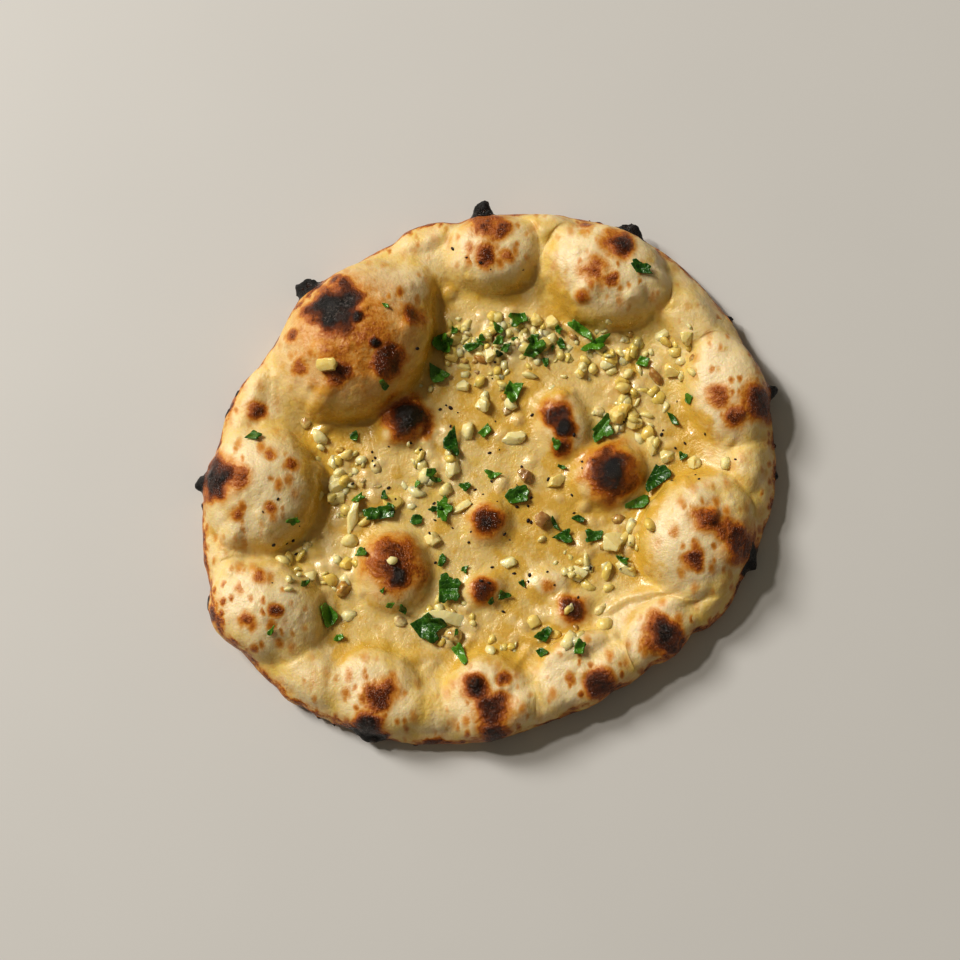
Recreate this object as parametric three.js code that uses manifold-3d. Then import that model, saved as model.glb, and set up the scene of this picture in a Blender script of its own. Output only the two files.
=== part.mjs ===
// A garlic naan: one flat leavened bread with a puffed, blistered rim and a thinner middle,
// strewn with chopped garlic and torn coriander leaf.
//
// Millimetres, +Z up. The bread lies flat, and the origin is the middle of its underside.
// +X runs along its longer side. The bread is one solid, as it was baked: its blisters and
// burnt crumbs are joined to the dough. Each morsel of garlic and each leaf rests on it loose.
import * as THREE from "three";
import { mergeVertices } from "three/addons/utils/BufferGeometryUtils.js";
import Module from "manifold-3d";

const wasm = await Module();
wasm.setup();

// ---- Driving dimensions ------------------------------------------------------------------

const RADIUS = 95; // mean radius of the outline
const MIDDLE_TOP = 7; // top of the thin middle above the underside
const RIM_TOP = 11.5; // top of the plain rim between the blisters
const CLEARANCE = 0.3; // gap kept under each loose morsel
const START_DEPTH = 1; // a morsel is raised from this far under the dough's surface
const LIFT_STEP = 0.2; // how far a morsel is raised at a time until it lies clear
const SLOPE_REACH = 1.5; // distance over which the slope under a morsel is taken
const STEEPEST = 0.6; // a morsel tilts with the dough up to this slope

// The outline swells and narrows in a few slow waves round the bread:
// how many times each goes round, how far it pushes the edge, and where it peaks.
const WAVES = [
  { count: 1, push: 1.5, peak: -95 },
  { count: 2, push: 7.9, peak: 33 },
  { count: 3, push: 1.8, peak: -17 },
  { count: 5, push: 0.8, peak: -15 },
];

// Cross-section from the edge to the axis: share of the radius, and height.
const UPPER_SIDE = [
  [1.0, 4.2],
  [0.99, 6.8],
  [0.965, 9.2],
  [0.92, 10.9],
  [0.87, RIM_TOP],
  [0.81, 10.6],
  [0.74, 8.6],
  [0.66, 7.3],
  [0.5, MIDDLE_TOP],
];
const LOWER_SIDE = [
  [0.88, 0],
  [0.95, 0.7],
  [0.985, 2.2],
  [1.0, 4.2],
];

// Facets: round the outline, up the two sides, and round each kind of blister. The middle
// has one more ring, at a share of the radius, that keeps its triangles short.
const OUTLINE_STEPS = 96;
const LOWER_STEPS = 4;
const UPPER_STEPS = 11;
const MIDDLE_RING = 0.25;
const RIM_BLISTER_STEPS = 20;
const MIDDLE_BLISTER_STEPS = 16;
const LEAF_EDGE_STEPS = 4;
const SAME_POINT = 1e-4; // corners nearer than this are one

// Gas blisters in the dough: middle, length and width, top above the underside, and the
// heading of the length. The first group sits in the rim, the second in the middle.
const RIM_BLISTERS = [
  { x: -46, y: 44.5, long: 60, wide: 49, top: 29, heading: 47 },
  { x: -30, y: 60, long: 24, wide: 20, top: 21, heading: 30 },
  { x: 0.5, y: 75.5, long: 31, wide: 27, top: 20.5, heading: 10 },
  { x: 40, y: 67.5, long: 43, wide: 35, top: 24, heading: -20 },
  { x: 82, y: 27, long: 38, wide: 28, top: 20, heading: -72 },
  { x: 70, y: -22, long: 44, wide: 37, top: 23, heading: 62 },
  { x: -78, y: -7, long: 43, wide: 40, top: 24, heading: 80 },
  { x: -76, y: -48, long: 41, wide: 34, top: 22, heading: -22 },
  { x: -38, y: -76, long: 33, wide: 28, top: 17.5, heading: -35 },
  { x: -1, y: -77.5, long: 31, wide: 29, top: 18.5, heading: 85 },
  { x: 31, y: -69, long: 32, wide: 24, top: 15.5, heading: 25 },
  { x: 58, y: -56, long: 26, wide: 19, top: 16, heading: 42 },
];
const MIDDLE_BLISTERS = [
  { x: -30, y: 17.5, long: 21, wide: 17, top: 13, heading: 42 },
  { x: 25.5, y: 16.5, long: 26, wide: 19, top: 14, heading: -75 },
  { x: 40.5, y: -1, long: 28, wide: 22, top: 15, heading: 30 },
  { x: -0.5, y: -17.5, long: 18, wide: 15.5, top: 12.5, heading: 60 },
  { x: -33, y: -34.5, long: 30, wide: 26, top: 16, heading: 85 },
  { x: -2, y: -41, long: 16, wide: 12, top: 11.5, heading: 20 },
  { x: 27.5, y: -48.5, long: 17, wide: 12, top: 12, heading: 35 },
  { x: 20, y: -38.5, long: 16, wide: 11, top: 10.5, heading: 10 },
];
const RIM_BLISTER_SEAT = 9; // height of the widest level of a rim blister
const MIDDLE_BLISTER_SEAT = 6.5;

// Burnt crumbs of dough that stick out of the edge: middle, height, width and depth.
const BURNT_CRUMBS = [
  { x: -63, y: 63.5, z: 8, wide: 9.5, deep: 6 },
  { x: -2.5, y: 91, z: 8.5, wide: 8.5, deep: 5 },
  { x: 49, y: 83.5, z: 9, wide: 9, deep: 6 },
  { x: 97.5, y: 28, z: 6.5, wide: 6, deep: 5 },
  { x: 88, y: -30, z: 5.5, wide: 9.5, deep: 6 },
  { x: -98, y: -4.5, z: 7, wide: 7, deep: 6 },
  { x: -94.5, y: -46, z: 7.5, wide: 5.5, deep: 5 },
  { x: -40.5, y: -88.5, z: 5, wide: 12, deep: 5 },
];

// Chopped garlic: middle, length, width, thickness and heading of each morsel.
const GARLIC = [
  [-54.4, 34.0, 7.4, 6.4, 3.6, 10],
  [16.0, 53.4, 5.6, 4.8, 3.6, 20],
  [21.6, 52.0, 5.8, 5.0, 3.8, -35],
  [18.0, 43.8, 7.4, 6.0, 4.0, 15],
  [11.8, 46.8, 6.2, 5.0, 3.8, 60],
  [-1.0, 47.2, 5.4, 4.8, 3.4, 0],
  [0.4, 41.0, 6.4, 5.4, 3.8, 40],
  [-12.6, 46.6, 6.0, 5.4, 3.4, -20],
  [-13.2, 40.4, 6.6, 5.6, 3.6, 30],
  [-9.2, 29.8, 5.6, 4.2, 3.2, -15],
  [-2.4, 22.8, 6.0, 4.8, 3.0, 10],
  [31.4, 34.8, 5.2, 4.4, 3.2, 80],
  [41.6, 39.2, 6.6, 5.2, 3.6, -30],
  [48.2, 40.8, 5.4, 4.6, 3.4, 50],
  [60.4, 47.6, 6.2, 5.4, 3.2, 70],
  [68.0, 45.4, 5.6, 5.0, 3.4, 20],
  [63.2, 35.2, 6.0, 5.2, 3.4, -50],
  [46.0, 31.0, 5.4, 4.6, 3.2, 35],
  [44.2, 20.2, 6.0, 5.2, 3.8, 15],
  [49.8, 16.8, 6.6, 4.8, 3.6, 5],
  [56.0, 9.4, 8.2, 4.6, 3.8, 95],
  [61.2, 5.4, 5.8, 4.8, 3.4, 40],
  [70.8, 2.8, 5.6, 5.0, 3.4, 0],
  [42.2, -24.8, 8.6, 6.8, 4.0, 15],
  [47.0, -33.6, 8.0, 5.0, 3.4, -35],
  [29.8, -35.6, 9.0, 5.8, 3.4, 10],
  [23.0, -3.6, 7.4, 5.0, 3.2, 30],
  [12.0, -1.6, 5.8, 5.2, 3.4, 0],
  [8.6, 11.4, 9.4, 5.0, 3.4, 15],
  [-9.4, -12.4, 7.6, 3.6, 2.8, 35],
  [-19.6, -23.6, 5.6, 5.2, 3.6, 70],
  [-48.9, -32.0, 5.6, 4.6, 3.6, 60],
  [-52.2, -3.6, 9.0, 7.6, 3.6, 25],
  [-46.8, -15.4, 13.6, 4.6, 3.4, 74],
  [-52.8, -9.6, 7.0, 4.4, 3.0, 0],
  [-33.2, -11.2, 7.4, 6.0, 3.4, -20],
  [-12.8, 1.0, 7.8, 5.8, 3.8, 65],
  [-15.6, -50.6, 14.6, 6.4, 3.8, -8],
  [18.0, -16.8, 5.8, 5.4, 4.2, 50],
];

// Torn coriander leaf: middle, length, width and heading of each fragment.
const CORIANDER = [
  [10.6, 53.6, 7.6, 4.6, 25],
  [16.4, 42.4, 8.2, 5.4, -20],
  [-16.4, 44.8, 6.8, 4.4, 95],
  [-17.8, 35.0, 7.8, 5.6, -35],
  [31.5, 49.5, 9.0, 4.6, -50],
  [36.4, 44.4, 8.0, 4.4, 20],
  [8.0, 28.4, 9.0, 5.6, -40],
  [-13.0, 10.0, 9.4, 5.0, 75],
  [9.8, -8.2, 7.2, 6.4, -30],
  [-16.8, -13.4, 6.8, 5.2, 55],
  [-37.0, -15.2, 10.6, 5.6, -10],
  [-15.2, -41.2, 8.2, 8.0, 40],
  [-22.8, -52.4, 13.0, 8.6, -25],
  [56.4, -3.0, 10.4, 7.6, 60],
  [50.0, -11.2, 9.4, 5.0, 55],
  [25.0, -21.6, 6.4, 4.4, -30],
  [38.0, 14.6, 8.0, 6.0, 45],
  [51.6, 68.0, 7.4, 3.6, -25],
  [-54.6, -50.4, 8.0, 3.6, -70],
  [18.4, -57.4, 6.4, 4.2, 25],
];
const LEAF_THICKNESS = 0.6;

// ---- Outline and surface -----------------------------------------------------------------

const degrees = THREE.MathUtils.degToRad;

function outlineRadius(angle) {
  return WAVES.reduce(
    (radius, wave) => radius + wave.push * Math.cos(wave.count * (angle - degrees(wave.peak))),
    RADIUS,
  );
}

// ---- Solids ------------------------------------------------------------------------------

// A closed geometry as a solid: shared corners merged, and collapsed triangles dropped.
function solidOf(geometry) {
  const bare = geometry.index ? geometry.toNonIndexed() : geometry.clone();
  bare.deleteAttribute("normal");
  bare.deleteAttribute("uv");
  const merged = mergeVertices(bare, SAME_POINT);
  const corners = merged.index.array;
  const kept = [];
  for (let i = 0; i < corners.length; i += 3) {
    const [a, b, c] = corners.slice(i, i + 3);
    if (a !== b && b !== c && c !== a) kept.push(a, b, c);
  }
  return new wasm.Manifold(
    new wasm.Mesh({
      numProp: 3,
      vertProperties: merged.attributes.position.array,
      triVerts: new Uint32Array(kept),
    }),
  );
}

// A solid back as a faceted geometry for a mesh.
function geometryOf(solid) {
  const mesh = solid.getMesh();
  const geometry = new THREE.BufferGeometry();
  geometry.setAttribute("position", new THREE.BufferAttribute(mesh.vertProperties, 3));
  geometry.setIndex(new THREE.BufferAttribute(mesh.triVerts, 1));
  const faceted = geometry.toNonIndexed();
  faceted.computeVertexNormals();
  return faceted;
}

// The plain bread before it blisters: a turned cross-section, drawn out to the outline.
function flatbread() {
  const upper = new THREE.SplineCurve(UPPER_SIDE.map(([share, z]) => new THREE.Vector2(share, z)));
  const lower = new THREE.SplineCurve(LOWER_SIDE.map(([share, z]) => new THREE.Vector2(share, z)));
  const profile = [
    new THREE.Vector2(0, 0),
    ...lower.getPoints(LOWER_STEPS),
    ...upper.getPoints(UPPER_STEPS).slice(1),
    new THREE.Vector2(MIDDLE_RING, MIDDLE_TOP),
    new THREE.Vector2(0, MIDDLE_TOP),
  ];
  const geometry = new THREE.LatheGeometry(profile, OUTLINE_STEPS).rotateX(Math.PI / 2);
  const position = geometry.attributes.position;
  for (let i = 0; i < position.count; i++) {
    const radius = outlineRadius(Math.atan2(position.getY(i), position.getX(i)));
    position.setXY(i, position.getX(i) * radius, position.getY(i) * radius);
  }
  return geometry;
}

// A blister is an egg-shaped bubble, widest at its seat.
function bubble({ x, y, long, wide, top, heading }, seat, steps) {
  return new THREE.SphereGeometry(1, steps, steps / 2)
    .rotateX(Math.PI / 2)
    .scale(long / 2, wide / 2, top - seat)
    .rotateZ(degrees(heading))
    .translate(x, y, seat);
}

// A burnt crumb is a rough little lump, turned by its place so that no two look alike.
function crumb({ x, y, z, wide, deep }) {
  return new THREE.DodecahedronGeometry(1)
    .rotateZ(x)
    .rotateX(y)
    .scale(wide / 2, wide / 2, deep / 2)
    .translate(x, y, z);
}

function bread() {
  const below = new THREE.BoxGeometry(3 * RADIUS, 3 * RADIUS, RADIUS).translate(0, 0, -RADIUS / 2);
  const added = [
    ...RIM_BLISTERS.map((blister) => bubble(blister, RIM_BLISTER_SEAT, RIM_BLISTER_STEPS)),
    ...MIDDLE_BLISTERS.map((blister) => bubble(blister, MIDDLE_BLISTER_SEAT, MIDDLE_BLISTER_STEPS)),
    ...BURNT_CRUMBS.map(crumb),
  ];
  return added
    .reduce((dough, lump) => dough.add(solidOf(lump)), solidOf(flatbread()))
    .subtract(solidOf(below));
}

// A chopped morsel: a small faceted lump, turned by its length so that few look alike.
function garlicMorsel([, , long, wide, thick]) {
  return new THREE.DodecahedronGeometry(1)
    .rotateZ(long)
    .scale(long / 2, wide / 2, thick / 2)
    .translate(0, 0, thick / 2);
}

// A torn leaf: a thin plate with a notched tip.
function leafFragment([, , long, wide]) {
  const torn = new THREE.Shape()
    .moveTo(-long / 2, -wide / 5)
    .quadraticCurveTo(-long / 8, -wide / 2, long / 4, -wide / 2)
    .lineTo(long / 2, -wide / 8)
    .lineTo(long / 4, wide / 10)
    .lineTo(long / 3, wide / 2)
    .quadraticCurveTo(-long / 4, wide / 2, -long / 2, -wide / 5);
  return new THREE.ExtrudeGeometry(torn, {
    depth: LEAF_THICKNESS,
    bevelEnabled: false,
    curveSegments: LEAF_EDGE_STEPS,
  });
}

// Where a blister stands at a point, the dough is that high, and else it is the plain bread.
function doughHeight(x, y) {
  const share = Math.hypot(x, y) / outlineRadius(Math.atan2(y, x));
  const inward = UPPER_SIDE.findIndex(([at]) => at <= share);
  let height = MIDDLE_TOP;
  if (inward > 0) {
    const [outerShare, outerZ] = UPPER_SIDE[inward - 1];
    const [innerShare, innerZ] = UPPER_SIDE[inward];
    const part = (outerShare - share) / (outerShare - innerShare);
    height = THREE.MathUtils.lerp(outerZ, innerZ, part);
  }
  const rise = (blister, seat) => {
    const turned = new THREE.Vector2(x - blister.x, y - blister.y).rotateAround(
      new THREE.Vector2(),
      -degrees(blister.heading),
    );
    const off = Math.hypot((2 * turned.x) / blister.long, (2 * turned.y) / blister.wide);
    return off < 1 ? seat + (blister.top - seat) * Math.sqrt(1 - off * off) : 0;
  };
  return Math.max(
    height,
    ...RIM_BLISTERS.map((blister) => rise(blister, RIM_BLISTER_SEAT)),
    ...MIDDLE_BLISTERS.map((blister) => rise(blister, MIDDLE_BLISTER_SEAT)),
  );
}

// The slope of the dough at a point, as rise per millimetre along X and Y.
function doughSlope(x, y) {
  const reach = SLOPE_REACH;
  return new THREE.Vector2(
    doughHeight(x + reach, y) - doughHeight(x - reach, y),
    doughHeight(x, y + reach) - doughHeight(x, y - reach),
  )
    .divideScalar(2 * reach)
    .clampLength(0, STEEPEST);
}

// Lays a morsel on the dough: turned to its heading, tilted with the slope under it, and
// raised until it lies clear of the bread and of each morsel laid before it.
function layDown(geometry, x, y, heading, laid) {
  const slope = doughSlope(x, y);
  const upright = new THREE.Vector3(-slope.x, -slope.y, 1).normalize();
  const tilt = new THREE.Quaternion().setFromUnitVectors(new THREE.Vector3(0, 0, 1), upright);
  geometry.rotateZ(degrees(heading)).applyQuaternion(tilt);
  const solid = solidOf(geometry);
  let z = doughHeight(x, y) - START_DEPTH;
  const touches = (other) =>
    other.intersect(solid.translate(x, y, z - CLEARANCE)).volume() > 0;
  while (laid.some(touches)) z += LIFT_STEP;
  const placed = solid.translate(x, y, z);
  laid.push(placed);
  return placed;
}

// ---- The object --------------------------------------------------------------------------

const crust = new THREE.MeshStandardMaterial({ color: 0xdcb679, roughness: 0.55, metalness: 0 });
const garlic = new THREE.MeshStandardMaterial({ color: 0xe9dca0, roughness: 0.35, metalness: 0 });
const leaf = new THREE.MeshStandardMaterial({ color: 0x2f6b1e, roughness: 0.4, metalness: 0 });

const naan = new THREE.Group();

function addPiece(name, solid, material) {
  const mesh = new THREE.Mesh(geometryOf(solid), material);
  mesh.name = name;
  naan.add(mesh);
}

const twoDigits = (index) => String(index + 1).padStart(2, "0");

const dough = bread();
addPiece("naan_bread", dough, crust);

const laid = [dough];
CORIANDER.forEach((fragment, index) => {
  const [x, y, , , heading] = fragment;
  const placed = layDown(leafFragment(fragment), x, y, heading, laid);
  addPiece(`coriander_${twoDigits(index)}`, placed, leaf);
});
GARLIC.forEach((morsel, index) => {
  const [x, y, , , , heading] = morsel;
  const placed = layDown(garlicMorsel(morsel), x, y, heading, laid);
  addPiece(`garlic_${twoDigits(index)}`, placed, garlic);
});

export default naan;
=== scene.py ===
"""A garlic naan: a blistered, charred flatbread, buttered and strewn with chopped garlic,
torn coriander leaf and coarse pepper, lying on a plain pale floor.

Metres, +Z up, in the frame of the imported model. Tables of places and sizes are in millimetres.
"""
import math
import random

import bmesh
import bpy
import numpy as np
from mathutils import Matrix, Vector, noise
from mathutils.bvhtree import BVHTree


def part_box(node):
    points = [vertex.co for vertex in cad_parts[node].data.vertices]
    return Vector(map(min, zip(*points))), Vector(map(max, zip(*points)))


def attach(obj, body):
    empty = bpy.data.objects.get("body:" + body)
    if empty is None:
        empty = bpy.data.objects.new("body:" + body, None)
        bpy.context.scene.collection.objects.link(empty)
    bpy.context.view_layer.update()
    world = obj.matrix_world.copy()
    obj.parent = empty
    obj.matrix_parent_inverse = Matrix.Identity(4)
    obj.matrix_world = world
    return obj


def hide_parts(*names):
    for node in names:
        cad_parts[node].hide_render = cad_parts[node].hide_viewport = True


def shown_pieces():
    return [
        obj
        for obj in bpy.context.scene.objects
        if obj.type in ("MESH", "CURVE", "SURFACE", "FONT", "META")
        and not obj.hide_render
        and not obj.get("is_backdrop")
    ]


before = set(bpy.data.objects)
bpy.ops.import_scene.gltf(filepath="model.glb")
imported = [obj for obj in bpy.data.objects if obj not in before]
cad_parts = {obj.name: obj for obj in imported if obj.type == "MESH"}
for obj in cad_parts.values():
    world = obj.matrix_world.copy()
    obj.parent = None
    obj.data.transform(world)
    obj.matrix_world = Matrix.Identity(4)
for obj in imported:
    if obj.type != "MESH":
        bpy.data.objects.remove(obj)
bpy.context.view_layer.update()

bl_info = {
    "name": "Garlic Naan",
    "version": (1, 0, 0),
    "blender": (4, 5, 0),
    "location": "3D View > Sidebar > Naan",
    "description": "Makes a blistered garlic naan with its toppings around a packed model",
    "category": "Add Mesh",
}

MM = 0.001
BODY = "root"
UP = Vector((0, 0, 1))


# ---- Places and sizes, in millimetres ----------------------------------------------------

# The outline: how many times each wave goes round, how far it pushes, where it peaks.
RADIUS = 95
WAVES = [(1, 1.5, -95), (2, 7.9, 33), (3, 1.8, -17), (5, 0.8, -15)]

# Blisters: middle x, y, length, width, top, and heading of the length.
RIM_BLISTERS = [
    (-46, 44.5, 60, 49, 29, 47),
    (-30, 60, 24, 20, 21, 30),
    (0.5, 75.5, 31, 27, 20.5, 10),
    (40, 67.5, 43, 35, 24, -20),
    (82, 27, 38, 28, 20, -72),
    (70, -22, 44, 37, 23, 62),
    (-78, -7, 43, 40, 24, 80),
    (-76, -48, 41, 34, 22, -22),
    (-38, -76, 33, 28, 17.5, -35),
    (-1, -77.5, 31, 29, 18.5, 85),
    (31, -69, 32, 24, 15.5, 25),
    (58, -56, 26, 19, 16, 42),
]
MIDDLE_BLISTERS = [
    (-30, 17.5, 21, 17, 13, 42),
    (25.5, 16.5, 26, 19, 14, -75),
    (40.5, -1, 28, 22, 15, 30),
    (-0.5, -17.5, 18, 15.5, 12.5, 60),
    (-33, -34.5, 30, 26, 16, 85),
    (-2, -41, 16, 12, 11.5, 20),
    (27.5, -48.5, 17, 12, 12, 35),
    (20, -38.5, 16, 11, 10.5, 10),
]
RIM_SEAT = 9
MIDDLE_SEAT = 6.5

# Burnt crumbs that stick out of the edge: middle x, y, z, width and depth.
BURNT_CRUMBS = [
    (-63, 63.5, 8, 9.5, 6),
    (-2.5, 91, 8.5, 8, 5),
    (49, 83.5, 9, 9, 6),
    (97.5, 28, 6.5, 5, 5),
    (88, -30, 5.5, 8.5, 6),
    (-98, -4.5, 7, 6, 6),
    (-94.5, -46, 7.5, 5.5, 5),
    (-40.5, -88.5, 5, 11, 5),
]

# Scorched spots: x, y, reach, and how deeply it is burnt, from 0 to 1.
SCORCHES = [
    (-47, 44, 25, 0.34), (-53, 52, 10, 1.0), (-49, 56, 7, 0.95), (-45, 50, 3, 0.95),
    (-34.5, 36, 7, 0.72), (-39, 41, 2.5, 0.9), (-26, 51, 5, 0.55), (-51, 31, 6, 0.6),
    (-64, 34, 4, 0.5), (-53, 64, 3, 0.6), (-67, 45, 3, 0.45), (-80, 20, 4, 0.6),
    (-1, 85, 8, 0.5), (-1, 73, 5, 0.62), (4, 82, 4, 0.6), (6, 73, 3, 0.45),
    (44, 76.5, 6, 0.78), (34, 85, 3, 0.5), (32, 58.5, 3, 0.45), (36, 67, 6, 0.45),
    (42, 64, 3, 0.55), (78, 24.5, 5, 0.5), (92.5, 22.5, 7.5, 0.72), (84, 17.5, 5, 0.55),
    (73, -18, 6, 0.58), (69, -32, 4, 0.68), (84, -26, 8, 0.62), (79, -22, 6, 0.5),
    (-93, -4, 8.5, 0.85), (-84.5, -4, 5, 0.55), (-86, -17, 3, 0.45), (-74, 4, 3, 0.4),
    (-67, 0, 3, 0.42), (-74, -15, 3, 0.4), (-81, -52, 3, 0.5), (-71.5, -49.5, 3, 0.55),
    (-77.5, -38, 3, 0.42), (-79, -61, 2, 0.4), (-71, -60, 2, 0.35), (-36.5, -77, 6.5, 0.66),
    (-41, -88, 6, 0.85), (-5, -75, 5, 0.8), (1, -82, 7, 0.72), (5, -71.5, 3, 0.55),
    (1, -90, 6, 0.75), (36.5, -73, 5.5, 0.72), (58.5, -57, 7, 0.85), (61, -61, 4, 0.75),
    (-28.5, 18, 8, 0.95), (23.5, 19, 6, 0.75), (25.5, 14.3, 4.5, 0.95), (25, 8, 4, 0.62),
    (41, -1, 10.5, 0.8), (42, -0.5, 6.5, 1.0), (-1, -18, 6, 0.76), (-32, -33, 11, 0.62),
    (-30.5, -37, 5.5, 0.9), (-2.5, -41.5, 5, 0.7), (28.5, -48, 5.5, 0.68), (20, -40, 3, 0.4),
]

# Small raised bubbles and folds of the skin: x, y, length, width, heading, rise.
BUMPS = [
    (-45, 50, 4.2, 3.6, 0, 1.5), (-39, 41, 3.4, 3.0, 0, 1.2), (-42, 53.5, 3.0, 2.6, 0, 0.8),
    (-27, 47, 9, 8, 20, 1.8), (-56, 38, 12, 9, -30, 1.2), (-36, 32, 12, 9, 60, 1.4),
    (45, 76, 8, 7, 0, 1.6), (33, 60, 12, 9, 20, 1.2), (50, 60, 10, 8, 40, 1.0),
    (75, -17, 8, 5, 60, 1.8), (80, -30, 11, 9, 40, 1.3), (-5, -73, 6, 5, 0, 1.4),
    (62, 40, 16, 5, -60, 1.2), (52, -43, 24, 5, 12, 1.8), (44, -46, 16, 4, 30, 1.3),
    (15, -58, 14, 4, -20, 1.2), (12, -63, 12, 3.5, 50, 1.0), (20, -64, 10, 3.5, 80, 1.2),
    (-8, -60, 12, 4, 60, 1.0), (-20, -66, 10, 5, 40, 1.0), (-68, -78, 12, 6, -45, 0.8),
    (-58, 14, 11, 5, 30, 1.2), (-62, -28, 12, 5, -10, 1.2), (-14, 62, 8, 6, 40, 1.4),
    (18, 66, 12, 4, 70, 1.0), (60, 8, 12, 4, 10, 1.0), (60, -4, 10, 4, -30, 1.0),
    (25, 26, 6, 5, 0, 0.8), (12, -2, 5, 4, 0, 0.8), (18, -17, 5, 4.5, 0, 1.0),
    (67, 54, 44, 18, -47, 3.6), (-84, 22, 34, 14, 66, 2.6), (-88, -28, 20, 12, 88, 2.2),
    (-60, -70, 28, 18, -42, 3.0), (-20, -82, 22, 16, -10, 2.4), (16, -80, 24, 14, 12, 2.4),
    (45, -66, 26, 16, 32, 2.8), (-22, 82, 26, 12, 20, 2.6), (20, 84, 24, 12, -8, 2.4),
    (88, 2, 24, 12, 88, 2.4), (76, -46, 26, 14, 52, 2.4), (30, -60, 30, 9, 20, 2.0),
    (66, -44, 22, 7, 30, 1.8), (-58, 22, 18, 8, 45, 1.4), (-24, -64, 18, 7, 5, 1.4),
]

# Strewn small garlic: low x, high x, low y, high y, how many.
GARLIC_STREWN = [
    (-22, 28, 36, 56, 72), (20, 60, 30, 52, 40), (56, 73, 30, 50, 9), (32, 64, 6, 34, 28),
    (-60, -36, -22, 14, 32), (-34, -6, -15, 13, 20), (-70, -44, -46, -23, 14),
    (-26, -2, -62, -40, 12), (12, 44, -42, -20, 14), (18, 42, -62, -42, 8),
    (36, 58, -36, -12, 12), (-12, 28, -66, -54, 8), (-26, 32, 20, 42, 24),
]
# Small garlic that stands by itself: middle x, y, length and width.
GARLIC_PLACED = [
    (-63.5, 16.5, 5, 4.5), (-58.5, 11.5, 7, 4.5), (-23.5, 2, 5.5, 4), (-25.5, -7.5, 7.5, 5),
    (-7.5, 14, 6.5, 4.5), (6.5, -31.5, 6, 5), (7.5, 23.5, 5.5, 4.5), (57.5, 33, 7.5, 3.5),
    (58.5, 25.5, 6, 5), (33.5, -31, 6.5, 3), (40, -34.5, 7, 3), (33.5, -39.5, 6, 4),
    (-63.5, -27, 7, 5.5), (-70.5, -31.5, 6, 4), (-61, -36.5, 5, 5), (-54.5, -37.5, 6, 5),
    (-50, -41, 6, 5), (-48, -49.5, 5.5, 5), (-30.5, -52, 5.5, 4), (-12.5, -57, 7, 6),
    (27, -59, 8, 4.5), (15, -52, 5.5, 5), (80.5, 2, 4.5, 4), (-33, -32, 4, 3),
]
BROWNED = (28, 39)  # large morsels that caught the heat
# Garlic that the butter covers, so that only its swelling shows.
GARLIC_COVERED = [
    (-20, 28, 34, 58, 34), (22, 66, 20, 52, 30), (-60, -34, -24, 16, 22), (-34, -4, -16, 14, 14),
    (-68, -40, -50, -22, 16), (10, 60, -40, -10, 16), (-26, 44, -68, -40, 18),
    (-40, 55, -35, 40, 22),
]
# Pinhead bubbles in the skin of the blisters and the rim.
SKIN_BUBBLES = [
    (-80, -20, 20, 75, 40), (10, 80, 45, 85, 34), (-20, 30, 62, 88, 16), (62, 96, -48, 40, 34),
    (-96, -55, -70, 20, 34), (-60, 60, -92, -60, 40),
]
# Strewn scraps of leaf, laid out as GARLIC_STREWN is, and so is the pepper.
LEAF_STREWN = [
    (-20, 40, 38, 52, 14), (-55, -8, -25, 12, 6), (0, 55, -30, 30, 5), (-65, 0, -60, -25, 4),
]
# Scraps of leaf that lie by themselves, laid out as GARLIC_PLACED is.
LEAF_PLACED = [
    (-81, 11, 6, 3), (-1.5, 14.5, 5, 3.5), (1.5, -1.5, 5.5, 2.5), (-8.5, -5, 3.5, 3),
    (52.5, 38.5, 5, 3.5), (68.5, 24, 4, 1.8), (63, 18, 5, 2), (66, 5, 3, 2.5),
    (-16.5, -30.5, 5, 3), (4.5, -43, 4, 2.5), (0.5, -45, 3, 2), (36, -23, 6, 4.5),
    (45, -30.5, 4.5, 3), (-9.5, -63, 7, 3.5), (30, -61.5, 5, 3.5), (17.5, -62.5, 3.5, 2.5),
    (-51.5, -57.5, 3.5, 2), (-73.5, -56.5, 4, 1.2), (-62.5, -39.5, 3.5, 1.8),
    (-24.5, -17, 5, 3), (-46, 12, 3.5, 3), (-66.5, -18.5, 3.5, 2.5), (-20, -1, 4, 3),
    (11.5, -39.5, 3.5, 1.8), (-8.5, -33.5, 3, 1.8), (-44, -29, 4, 3), (-7, 43, 6, 2.5),
    (-35.5, 54, 2.8, 1.2), (25, 44.5, 3.5, 2.5), (-35.5, 27, 3.5, 2),
]
PEPPER_STREWN = [
    (-60, 60, -60, 60, 78), (-80, -60, -50, 0, 8), (55, 85, -30, 40, 10), (-20, 20, 60, 80, 5),
]
SCRAP_LENGTHS = (2.2, 4.6)
LEAST_LEAF = (6, 4)  # length and width
TORN_AWAY = 1.15  # how much larger a leaf is before it is torn
EDGE_NUBS = 16
UNDERSIDE = 0.3  # skin lower than this is the flat underside
THINNED = 0.94  # share of the underside's points that aren't needed
KNIFE_EDGE = math.radians(48)  # a garlic edge keener than this stays sharp

# What starts each run of random draws. A large piece adds its own number.
SEEDS = {"morsel": 100, "leaf": 300, "crumbs": 7, "scraps": 5, "pepper": 9, "nubs": 11,
         "pinheads": 21, "covered": 22}

# Metres again: lamps with their setting of power, width, place and tint, the tint of the light
# from all round, the point that the camera looks at, and a height over everything.
LAMPS = {
    "window": ("key", 0.95, (-2.3, 1.7, 2.2), (1.0, 0.96, 0.9)),
    "sparkle": ("sparkle", 0.2, (-1.8, 1.0, 2.5), (1.0, 0.94, 0.86)),
}
SKY = (1, 0.9, 0.7, 1)
AIM = Vector((-3.3, -2.8, 5)) * MM
OVER_ALL = 0.1


def outline(angle):
    """The radius of the plain outline at an angle, in metres."""
    waves = sum(push * np.cos(count * (angle - math.radians(peak))) for count, push, peak in WAVES)
    return (RADIUS + waves) * MM


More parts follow.
